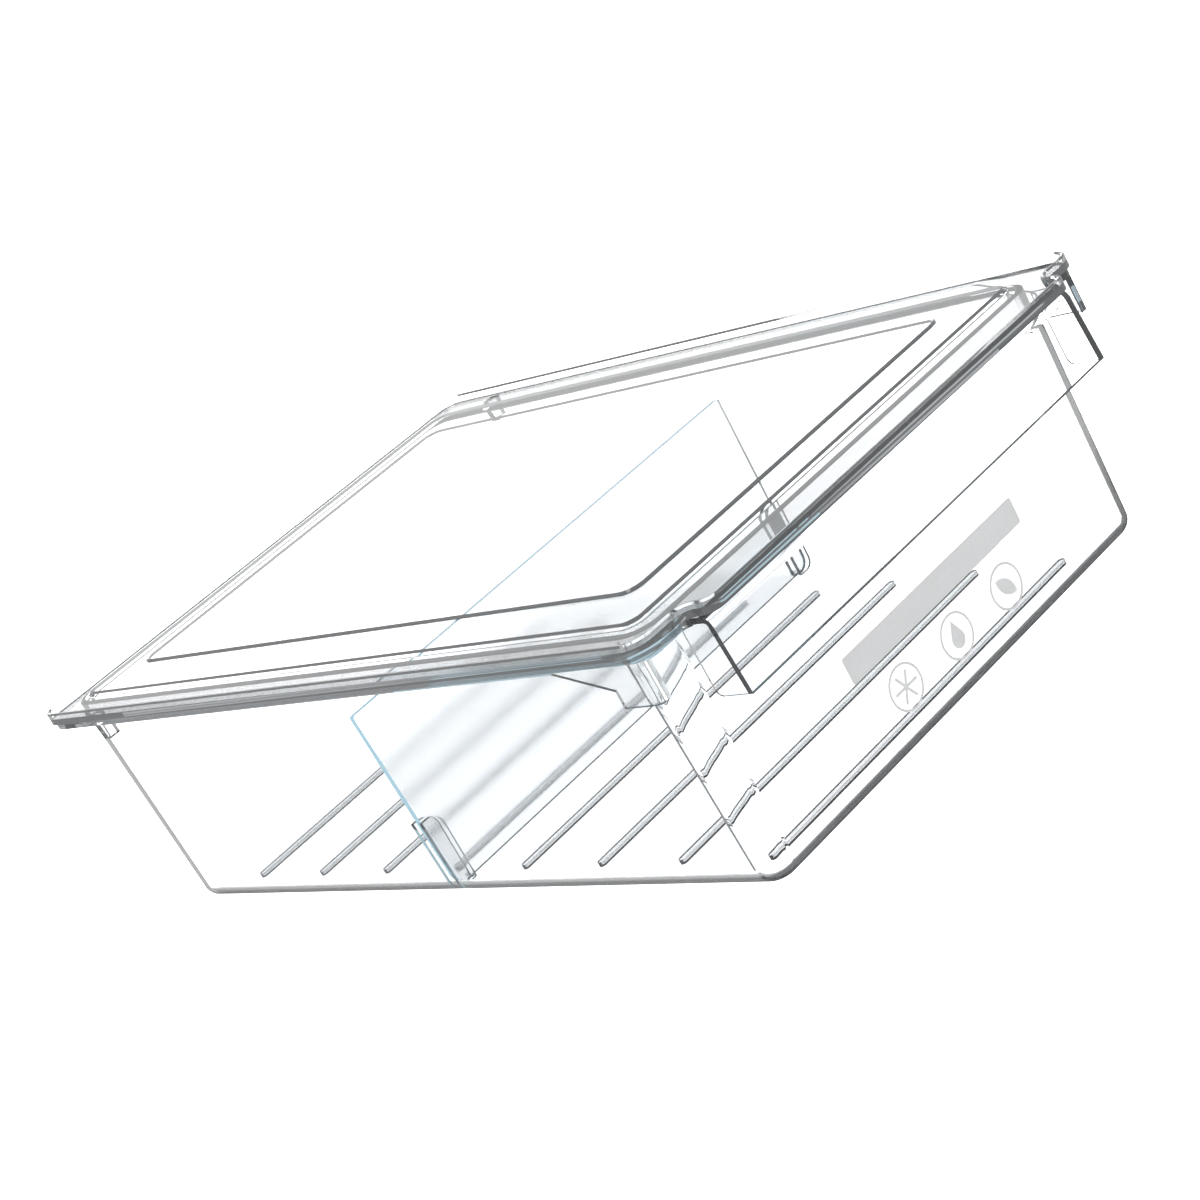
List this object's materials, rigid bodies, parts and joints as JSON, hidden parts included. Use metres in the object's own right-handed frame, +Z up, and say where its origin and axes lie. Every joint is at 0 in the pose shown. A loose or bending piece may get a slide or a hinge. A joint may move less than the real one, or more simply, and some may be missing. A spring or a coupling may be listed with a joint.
{
  "type": "hanging refrigerator drawer",
  "caption": "Clear drafted storage drawer with a rail rim, a hooded front pull, a lift-off lid and a removable divider, made to hang under a refrigerator shelf.",
  "frame": {"origin": "middle of the floor's underside", "axes": "+Z up through the open mouth, -Y towards the pull, +X to the right as seen from the front"},
  "size_m": [0.196, 0.3003, 0.0802],
  "materials": {
    "clear_box": "clear polished moulding",
    "clear_lid": "clear polished moulding",
    "clear_divider": "clear polished sheet"
  },
  "bodies": {
    "root": {"drawer_box": "clear_box", "lid": "clear_lid", "divider": "clear_divider"}
  },
  "joints": []
}
